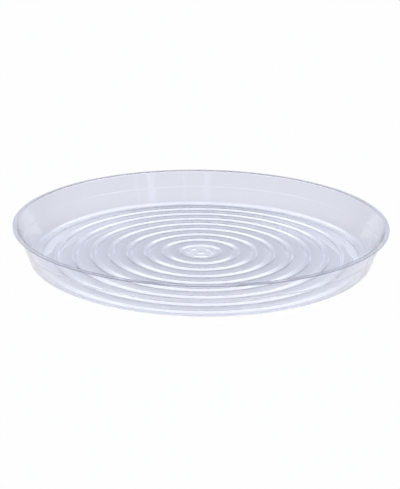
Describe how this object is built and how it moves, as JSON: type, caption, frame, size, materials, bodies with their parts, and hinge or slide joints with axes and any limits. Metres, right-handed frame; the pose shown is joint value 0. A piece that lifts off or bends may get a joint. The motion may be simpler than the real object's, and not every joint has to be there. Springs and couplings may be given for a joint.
{
  "type": "plant saucer",
  "caption": "Round shallow saucer of thin clear sheet that catches water under a plant pot, with a leaning wall, a narrow turned-out rim and low ribs pressed into its floor in circles.",
  "frame": {"origin": "centre of the flat face that the saucer rests on", "axes": "+Z along the axis of the round form, up out of the open side; X and Y lie in the resting face, and the form is the same all round"},
  "size_m": [0.354, 0.354, 0.0344],
  "materials": {
    "clear_sheet": "clear and glossy, faintly blue"
  },
  "bodies": {
    "root": {"saucer": "clear_sheet"}
  },
  "joints": []
}
